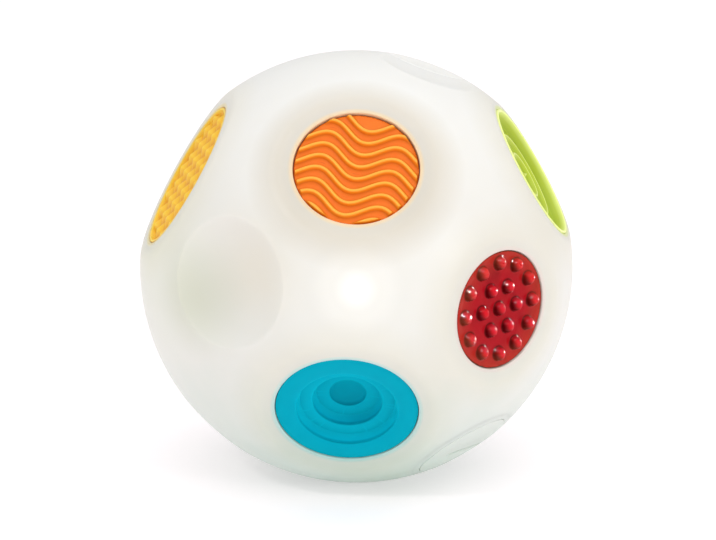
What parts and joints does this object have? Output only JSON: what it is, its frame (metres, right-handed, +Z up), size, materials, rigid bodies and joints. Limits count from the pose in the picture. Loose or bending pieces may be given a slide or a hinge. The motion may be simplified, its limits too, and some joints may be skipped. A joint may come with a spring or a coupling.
{
  "type": "sensory ball",
  "caption": "Light and sound sensory ball: translucent two-part shell with textured round push pads, finger dishes, a turn-off battery cap and a flat foot ring.",
  "frame": {"origin": "middle of the flat ring that the ball stands on, at the bottom", "axes": "+Z up, -Y the front with the wave, nub and step pads, +X to the right seen from the front"},
  "size_m": [0.14, 0.1401, 0.1374],
  "materials": {
    "shell": "translucent off-white, satin moulded",
    "orange_pad": "matte silicone",
    "red_pad": "glossy silicone",
    "blue_pad": "matte silicone",
    "green_pad": "satin translucent silicone",
    "yellow_pad": "satin silicone",
    "white_parts": "moulded",
    "spring_steel": "drawn wire",
    "black_parts": "moulded",
    "cell_jacket": "shrink film",
    "plated_steel": "nickel plated",
    "circuit_board": "lacquered laminate",
    "led_resin": "clear resin",
    "diffuser": "frosted",
    "brass_can": "drawn can",
    "slider": "moulded"
  },
  "bodies": {
    "ball": {"front_shell": "shell", "rear_shell": "shell", "pad_switches": "black_parts", "battery_tube": "white_parts", "battery_cells": "cell_jacket", "battery_end_contact": "plated_steel", "battery_cap_contact": "plated_steel", "lamp_board": "circuit_board", "lamp_leds": "led_resin", "lamp_diffuser": "diffuser", "lamp_board_screws": "plated_steel", "main_board": "circuit_board", "sound_chip": "black_parts", "roll_sensor": "brass_can", "main_board_screws": "plated_steel", "speaker": "black_parts", "speaker_retainer": "white_parts", "slide_switch": "black_parts", "shell_screws": "plated_steel", "orange_pad_retainer": "white_parts", "orange_return_spring": "spring_steel", "red_pad_retainer": "white_parts", "red_return_spring": "spring_steel", "blue_pad_retainer": "white_parts", "blue_return_spring": "spring_steel", "green_pad_retainer": "white_parts", "green_return_spring": "spring_steel", "yellow_pad_retainer": "white_parts", "yellow_return_spring": "spring_steel"},
    "orange_button": {"orange_wave_pad": "orange_pad"},
    "red_button": {"red_nub_pad": "red_pad"},
    "blue_button": {"blue_step_pad": "blue_pad"},
    "green_button": {"green_ring_pad": "green_pad"},
    "yellow_button": {"yellow_stud_pad": "yellow_pad"},
    "cap": {"battery_cap": "shell"},
    "slider": {"power_slider": "slider"}
  },
  "joints": [
    {"name": "orange_push", "type": "slide", "parent": "ball", "child": "orange_button", "axis": [0, 0.8039, -0.5948], "range_m": [0, 0.0015], "stiffness_N_per_m": 600, "springref_m": -0.002, "deforming": ["orange_return_spring"]},
    {"name": "red_push", "type": "slide", "parent": "ball", "child": "red_button", "axis": [-0.6548, 0.7533, 0.061], "range_m": [0, 0.0015], "stiffness_N_per_m": 600, "springref_m": -0.002, "deforming": ["red_return_spring"]},
    {"name": "blue_push", "type": "slide", "parent": "ball", "child": "blue_button", "axis": [0.0446, 0.8515, 0.5225], "range_m": [0, 0.0015], "stiffness_N_per_m": 600, "springref_m": -0.002, "deforming": ["blue_return_spring"]},
    {"name": "green_push", "type": "slide", "parent": "ball", "child": "green_button", "axis": [-0.8501, 0.1652, -0.5], "range_m": [0, 0.0015], "stiffness_N_per_m": 600, "springref_m": -0.002, "deforming": ["green_return_spring"]},
    {"name": "yellow_push", "type": "slide", "parent": "ball", "child": "yellow_button", "axis": [0.8486, 0.1727, -0.5], "range_m": [0, 0.0015], "stiffness_N_per_m": 600, "springref_m": -0.002, "deforming": ["yellow_return_spring"]},
    {"name": "cap_turn", "type": "hinge", "parent": "ball", "child": "cap", "pos_m": [0, 0, 0.06737], "axis": [0.4888, -0.4175, -0.766], "range_deg": [0, 45]},
    {"name": "power_slide", "type": "slide", "parent": "ball", "child": "slider", "axis": [-1, 0, 0], "range_m": [0, 0.003]}
  ]
}
